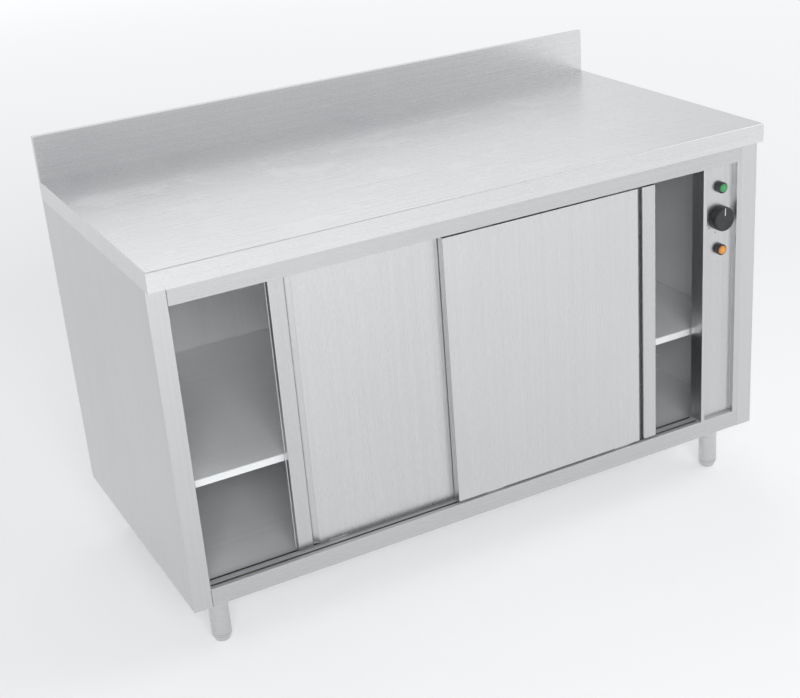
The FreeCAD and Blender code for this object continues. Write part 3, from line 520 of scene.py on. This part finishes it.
def blued_sheath(name):
    """Drawn steel tube that its own heat has blued unevenly."""
    finish, tree, shader, at = finish_named(name)
    bluing = noise(tree, at["Object"], waves=9.0, detail=3.0, roughness=0.6)
    scale = noise(tree, at["Object"], waves=300.0, detail=3.0)
    colour = blend(tree, spread(tree, bluing, 0.35, 0.7), (0.10, 0.095, 0.09), (0.20, 0.17, 0.19))
    dullness = spread(tree, scale, 0.3, 0.7, to_low=0.40, to_high=0.62)
    feed(shader, {"Base Color": colour, "Roughness": dullness, "Metallic": 1.0})
    return finish


# Painted light: the floor pan is near-white, barely metallic stainless, much paler than the outer sheets, so
# that it reads light inside the shaded cupboard.
pan_sheet_painted_light = stainless("floor_pan_painted_light", lengthways, upright, tone=0.93, roughness=0.36, wear=0.8,
                      metallic=0.2)
dress(pan_sheet_painted_light, "floor_pan")
dress(blued_sheath("blued_sheath"), "heating_element")
dress(galvanised_sheet, "element_clips")


# Middle shelf
# A stainless tray with its front and back lips turned down, laid loose on an angle riveted to each
# side wall, so that it lifts out for cleaning. Plates slid over it leave fine scratches.

# Painted light: the shelf is near-white, barely metallic stainless, much paler than the outer sheets, so that
# it reads light inside the shaded cupboard.
shelf_painted_light = stainless("shelf_painted_light", lengthways, upright, tone=0.93, roughness=0.34, wear=0.8,
                        metallic=0.2)
dress(shelf_painted_light, "shelf", "shelf_brackets")


# Door track and stops
# Behind the top rail hangs a twin channel of galvanised sheet with a ledge for each door's rollers.
# Black rubber blocks in it end the doors' travel.

stop_rubber = moulded("stop_block_rubber", (0.030, 0.030, 0.031), roughness=0.72, spark_waves=700.0,
                      spark_depth=0.00008, sheen=0.1)
dress(galvanised_sheet, "door_track")
dress(stop_rubber, "door_stops")


# Sliding doors
# Two double-skinned doors of thin stainless sheet with upright grain and mineral wool between the skins.
# One long edge of each is folded into a full-height finger pull. Nylon rollers on plated brackets carry
# them in the track, and nylon shoes below run in two slots of the bottom rail.

fine_upright = (1000, 1000, 3)
door_steel = stainless("door_sheet_steel", fine_upright, tone=0.65, roughness=0.28, wave_height=0.0009,
                       wear=0.7)
pull_steel = stainless("finger_pull_steel", fine_upright, tone=0.60, roughness=0.26, wave_height=0.0002,
                       wear=1.0)
white_nylon = moulded("roller_nylon", (0.74, 0.73, 0.68), roughness=0.44, spark_waves=500.0,
                      spark_depth=0.00002, unevenness=0.04)
for door in ("front_door_", "rear_door_"):
    dress(door_steel, door + "skin")
    dress(pull_steel, door + "handle")
    dress(liner_painted_light, door + "liner")
    dress(mineral_wool, door + "insulation")
    dress(bolt_zinc, door + "hangers")
    dress(white_nylon, door + "guides", door + "roller_left", door + "roller_right")


# Control column
# A folded stainless cover beside the doorway with a recessed face. The thermostat's black knob turns
# on a brass shaft, over a printed scale of degrees. Above it is a lit push button and below it a
# pilot lamp, both in turned black bezels. A galvanised box behind shields the works.

def middle(node):
    """The middle of a CAD piece's box."""
    low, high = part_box(node)
    return (low + high) / 2


def bar(name, place, size):
    """A straight bar about a place."""
    bpy.ops.object.select_all(action="DESELECT")
    bpy.ops.mesh.primitive_cube_add(size=1, scale=size)
    piece = bpy.context.object
    piece.name = piece.data.name = name
    return settled(piece, place)


forwards, backwards = (math.pi / 2, 0, 0), (-math.pi / 2, 0, 0)
knob_low, knob_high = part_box("knob")
knob_clearance, knob_radius = 0.0003, 0.0275
knob_length = knob_high.y - knob_low.y
face_y = knob_high.y + knob_clearance
control_x, knob_z = middle("power_button").x, middle("knob").z
button_z, lamp_z = middle("power_button").z, middle("lamp_lens").z

knob_profile = [(0.0, 0.0262), (0.0008, knob_radius), (0.0165, 0.0272), (0.0185, 0.0262), (0.0196, 0.0240),
                (knob_length, 0.0225), (0.0192, 0.0205), (0.0190, 0.0100)]
slit_width, slit_depth, slit_height, slit_rise = 0.0021, 0.0022, 0.0180, 0.0175
pointer_width, pointer_thickness, pointer_height = 0.0020, 0.0010, 0.0166
pointer_rise, pointer_sink = 0.0170, 0.0008
knob = lathe("knob_turned", knob_profile, sides=128, soft=0.0005, segments=3)
settled(knob, (control_x, knob_high.y, knob_z), forwards)
slit = bar("pointer_slit", (control_x, knob_low.y, knob_z + slit_rise),
           (slit_width, slit_depth, slit_height))
picked(knob)
bpy.ops.object.modifier_add(type="BOOLEAN")
cut = knob.modifiers[-1]
cut.operation = "DIFFERENCE"
cut.solver = "EXACT"
cut.object = slit
bpy.ops.object.modifier_apply(modifier=cut.name)
bpy.data.objects.remove(slit)
softened(knob, 0)
pointer = bar("knob_pointer", (control_x, knob_low.y + pointer_sink, knob_z + pointer_rise),
              (pointer_width, pointer_thickness, pointer_height))
softened(pointer, width=0.00015)
knob_plastic = moulded("knob_moulding", (0.022, 0.022, 0.024), roughness=0.36, spark_waves=1200.0,
                       spark_depth=0.00004)
pointer_white = moulded("pointer_white", (0.80, 0.80, 0.78), roughness=0.45)
dress(knob_plastic, knob)
dress(pointer_white, pointer)
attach(knob, "knob")
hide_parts("knob")
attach(pointer, "knob")


def cap_finish(name, height, deep, pale, roughness):
    """Clear-tinted plastic with a painted glow: paler over its middle as if lit from within and deeper at its
    rim, with faint rings from its mould.
    """
    finish, tree, shader, at = finish_named(name)
    ring_pitch, painted_glow_radius, rim_radius = 0.0011, 0.0015, 0.0092
    bubble = noise(tree, at["Object"], waves=260.0)
    from_axis = place_sums(tree, "MULTIPLY_ADD", at["Object"], (1, 0, 1), (-control_x, 0, -height))
    reach = place_sums(tree, "LENGTH", from_axis, gives="Value")
    rings = sums(tree, "SINE", sums(tree, "MULTIPLY", reach, 2 * math.pi / ring_pitch))
    # Painted glow: the cap is paler towards its middle, as if a lamp shone inside it.
    lit = spread(tree, reach, painted_glow_radius, rim_radius, to_low=1.0, to_high=0.15)
    tint = blend(tree, sums(tree, "ADD", lit, sums(tree, "MULTIPLY", rings, 0.06)), deep, pale)
    dulled = tuple(0.7 * value for value in deep)
    colour = blend(tree, spread(tree, bubble, 0.35, 0.7, to_low=0.0, to_high=0.3), tint, dulled)
    dullness = spread(tree, bubble, 0.3, 0.7, to_low=roughness, to_high=roughness + 0.08)
    feed(shader, {"Base Color": colour, "Roughness": dullness, "Normal": raised(tree, bubble, 0.00002),
                  "Coat Weight": 0.6, "Coat Roughness": 0.08})
    return finish


bezel_plastic = moulded("bezel_plastic", (0.028, 0.028, 0.030), roughness=0.22, spark_waves=600.0,
                        spark_depth=0.00001)
# The pale middles of these caps are a painted glow; the caps give off no light.
button_green = cap_finish("button_green", button_z, (0.015, 0.20, 0.055), (0.05, 0.42, 0.12), roughness=0.18)
lamp_amber = cap_finish("lamp_amber", lamp_z, (0.62, 0.17, 0.012), (0.92, 0.42, 0.04), roughness=0.16)
bezel_profile = [(0.0, 0.0122), (0.0006, 0.0125), (0.0098, 0.0125), (0.0110, 0.0118), (0.0115, 0.0110),
                 (0.0111, 0.0103), (0.0060, 0.0103)]
barrel_profile = [(0.0, 0.0108), (0.0254, 0.0108), (0.0260, 0.0100)]
cap_profile = [(0.0, 0.0098), (0.0090, 0.0100), (0.0124, 0.0099), (0.0132, 0.0090), (0.0135, 0.0072),
               (0.0136, 0.0030)]
push_button = ("button_housing", button_z, "power_button", button_green, "power_button", "green_plastic")
warning_light = ("pilot_lamp", lamp_z, "lamp_lens", lamp_amber, "cabinet", "amber_plastic")
for node, height, cap_node, cap_colour, cap_body, cap_slot in (push_button, warning_light):
    bezel = lathe(node + "_bezel", bezel_profile, sides=96, soft=0.0002)
    settled(bezel, (control_x, face_y, height), forwards)
    barrel = lathe(node + "_barrel", barrel_profile)
    settled(barrel, (control_x, face_y, height), backwards)
    bezel = joined([bezel, barrel], node + "_turned")
    dress(bezel_plastic, bezel)
    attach(bezel, "cabinet")
    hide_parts(node)
    cap = lathe(cap_node + "_cap", cap_profile, sides=96, soft=0.0003, segments=3)
    settled(cap, (control_x, face_y, height), forwards)
    dress(cap_colour, cap)
    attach(cap, cap_body)
    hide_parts(cap_node)

scale_steps, steps_per_figure, first_degree, last_degree = 24, 4, 30, 90
first_angle, last_angle = math.radians(60), math.radians(270)
mark_start, figure_reach, figure_height, ink_thickness = 0.0288, 0.0348, 0.0042, 0.0001
scale_middle = Vector((control_x, face_y - ink_thickness / 2, knob_z))


def tick(length, breadth):
    """One printed mark above the knob's axis, as long and as broad as given."""
    mark = bar("scale_tick", (0, 0, mark_start + length / 2), (breadth, ink_thickness, length))
    return softened(mark, ink_thickness / 3, segments=1)


def printed_figure(degrees, place):
    """One number of the scale, printed upright about its place."""
    weld = 0.000002
    bpy.ops.object.select_all(action="DESELECT")
    bpy.ops.object.text_add()
    figure = bpy.context.object
    figure.data.body = str(degrees)
    figure.data.size = figure_height
    figure.data.extrude = ink_thickness / 2
    figure.data.align_x = figure.data.align_y = "CENTER"
    bpy.ops.object.convert(target="MESH")
    bpy.ops.object.mode_set(mode="EDIT")
    bpy.ops.mesh.select_all(action="SELECT")
    bpy.ops.mesh.remove_doubles(threshold=weld)
    bpy.ops.mesh.dissolve_degenerate(threshold=weld)
    bpy.ops.object.mode_set(mode="OBJECT")
    return settled(figure, place, forwards)


short_tick, long_tick = tick(0.0012, 0.0003), tick(0.0024, 0.0005)
marks = []
for step in range(scale_steps + 1):
    angle = first_angle + (last_angle - first_angle) * step / scale_steps
    figured = step % steps_per_figure == 0
    to_angle = Matrix.Translation(scale_middle) @ Matrix.Rotation(angle, 4, "Y")
    marks.append(copied(long_tick if figured else short_tick, "scale_mark", to_angle))
    if figured:
        degrees = first_degree + round((last_degree - first_degree) * step / scale_steps)
        outwards = Vector((math.sin(angle), 0, math.cos(angle)))
        marks.append(printed_figure(degrees, scale_middle + outwards * figure_reach))
bpy.data.objects.remove(short_tick)
bpy.data.objects.remove(long_tick)
scale_marks = joined(marks, "temperature_scale")
scale_ink = moulded("scale_ink", (0.020, 0.021, 0.024), roughness=0.55, spark_waves=900.0,
                    spark_depth=0.00001)
dress(scale_ink, scale_marks)
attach(scale_marks, "cabinet")

dress(stainless("control_panel_steel", upright, tone=0.60, roughness=0.29, wear=0.8), "control_panel")
dress(galvanised_sheet, "control_box")
dress(bright_brass, "thermostat_shaft")
dress(bare_metal("thermostat_casting", (0.50, 0.50, 0.51), (0.68, 0.68, 0.69), roughness=0.42), "thermostat")
dress(bare_metal("probe_copper", (0.46, 0.20, 0.11), (0.78, 0.42, 0.27), roughness=0.26), "thermostat_probe")
dress(moulded("terminal_moulding", (0.74, 0.71, 0.62), roughness=0.48), "terminal_block")


# Worktop
# One pressed stainless sheet with its grain lengthways, its edges turned down and hemmed and its back
# turned up into a hollow upstand. A chipboard core bonded underneath keeps it flat and quiet, and two
# galvanised channels carry it.

def pressed_chips(name):
    """Chipboard: pressed chips of wood, each with its own tone and height."""
    finish, tree, shader, at = finish_named(name)
    chips = wire(tree, "TexVoronoi", {"Vector": at["Object"], "Scale": 260.0}).outputs["Color"]
    chip = wire(tree, "SeparateColor", {0: chips}).outputs[0]
    feed(shader, {"Base Color": blend(tree, chip, (0.40, 0.26, 0.13), (0.72, 0.56, 0.36)),
                  "Roughness": 0.85, "Normal": raised(tree, chip, 0.0003)})
    return finish


worktop_steel = stainless("worktop_sheet_steel", lengthways, upright, tone=0.70, roughness=0.27,
                          wave_height=0.0005, wear=1.0)
dress(worktop_steel, "worktop")
dress(pressed_chips("chipboard"), "worktop_core")
dress(galvanised_sheet, "worktop_stiffeners")


# Floor, light and camera
# A plain white floor runs out of sight under an even white surround. One large soft lamp at the upper
# left, a weaker one at the right and one behind give the sheets their soft gradients.

def seen_directly(tree):
    """1 for rays that show the surround itself: straight, mirrored or through glass."""
    ray = wire(tree, "LightPath").outputs
    mirrored_or_through = sums(tree, "MAXIMUM", ray["Is Glossy Ray"], ray["Is Transmission Ray"])
    return sums(tree, "MAXIMUM", ray["Is Camera Ray"], mirrored_or_through)


def lamp(name, place, aim, width, height, watts, mirrored=True):
    """A large soft lamp at a place, turned to its aim, whose own shape bright sheets may mirror."""
    bpy.ops.object.light_add(type="AREA", location=place)
    made = bpy.context.object
    made.name = name
    made.data.shape = "RECTANGLE"
    made.data.size = width
    made.data.size_y = height
    made.data.energy = watts
    made.rotation_euler = (Vector(aim) - Vector(place)).to_track_quat("-Z", "Y").to_euler()
    made.visible_camera = False
    made.visible_glossy = mirrored


bpy.ops.object.select_all(action="DESELECT")
bpy.ops.mesh.primitive_plane_add(size=160)
floor = bpy.context.object
floor.name = "floor"
floor_white, tree, shader, at = finish_named("floor_white")
away = place_sums(tree, "LENGTH", at["Object"], gives="Value")
paled = spread(tree, away, low=2.0, high=9.0, to_low=0.28, to_high=0.70)
glow = sums(tree, "MULTIPLY", seen_directly(tree), paled)
feed(shader, {"Base Color": (0.86, 0.86, 0.86, 1), "Roughness": 0.9, "Specular IOR Level": 0.0,
              "Emission Color": (1, 1, 1, 1), "Emission Strength": glow})
dress(floor_white, floor)

surround = bpy.data.worlds.new("surround")
surround.use_nodes = True
bpy.context.scene.world = surround
tree = surround.node_tree
rise = wire(tree, "SeparateXYZ", {0: wire(tree, "TexCoord").outputs["Generated"]}).outputs["Z"]
horizon, overhead, light_it_gives = (1.0, 1.0, 1.0), (0.56, 0.58, 0.61), (0.38, 0.39, 0.40)
shown = blend(tree, spread(tree, rise, 0.0, 0.8), horizon, overhead)
feed(tree.nodes["Background"], {"Color": blend(tree, seen_directly(tree), light_it_gives, shown)})

lamp("key_lamp", (-1.9, -5.3, 2.8), aim=(0, 0, 0.45), width=3.0, height=2.2, watts=185, mirrored=False)
lamp("right_lamp", (3.6, -1.4, 3.4), aim=(0, 0, 0.6), width=3.0, height=3.0, watts=38)
lamp("back_lamp", (1.6, 3.8, 4.2), aim=(0, 0, 0.6), width=3.6, height=2.4, watts=28)

camera_place = (-1.3616, -2.6760, 1.7213)
bpy.ops.object.camera_add(location=camera_place)
camera = bpy.context.object
heading, down, roll = math.radians(26.270), math.radians(23.934), math.radians(-4.644)
turned = Matrix.Rotation(-heading, 3, "Z") @ Matrix.Rotation(math.pi / 2 - down, 3, "X")
camera.rotation_euler = (turned @ Matrix.Rotation(roll, 3, "Z")).to_euler()
camera.data.lens = 64.82
camera.data.sensor_width = 36.0
camera.data.clip_start = 0.05
camera.data.clip_end = 300.0
bpy.context.scene.camera = camera
bpy.context.scene.view_settings.view_transform = "Standard"
